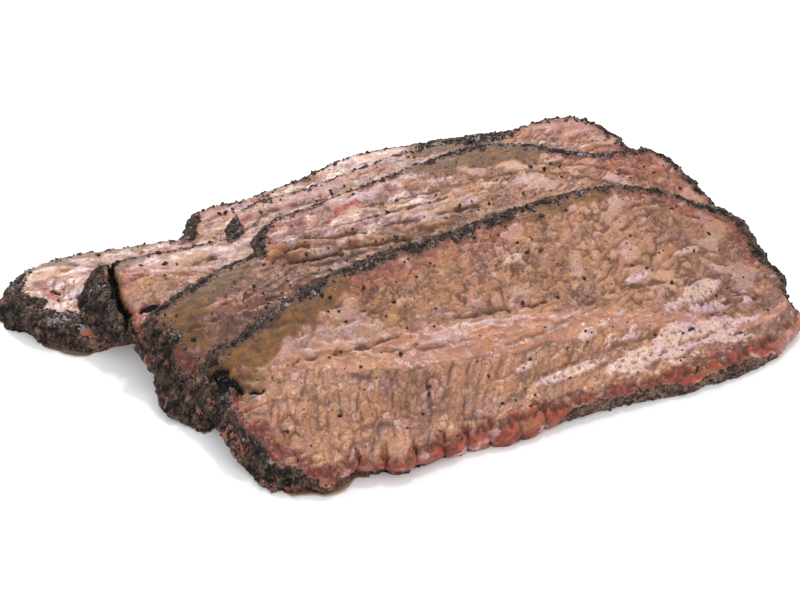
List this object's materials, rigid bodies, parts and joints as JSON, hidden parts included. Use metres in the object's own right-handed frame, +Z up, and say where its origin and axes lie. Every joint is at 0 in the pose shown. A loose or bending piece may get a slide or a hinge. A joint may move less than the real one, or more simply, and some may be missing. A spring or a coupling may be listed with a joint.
{
  "type": "sliced beef brisket",
  "caption": "Long slices of smoked beef brisket with a black peppered bark rim, fat cap and pink smoke ring, fanned like shingles to lie flat on a surface.",
  "frame": {"origin": "middle of the stack's footprint, on the surface that it lies on", "axes": "+X along the slices towards the point muscle's end, +Y from the front slice towards the back slice, +Z up"},
  "size_m": [0.278, 0.1768, 0.0405],
  "materials": {
    "smoked_beef": "moist cut face of smoked beef in brown and rose with olive fat, and a coarse black bark rim"
  },
  "bodies": {
    "root": {"slice_front": "smoked_beef", "slice_second": "smoked_beef", "slice_third": "smoked_beef", "slice_back": "smoked_beef"}
  },
  "joints": []
}
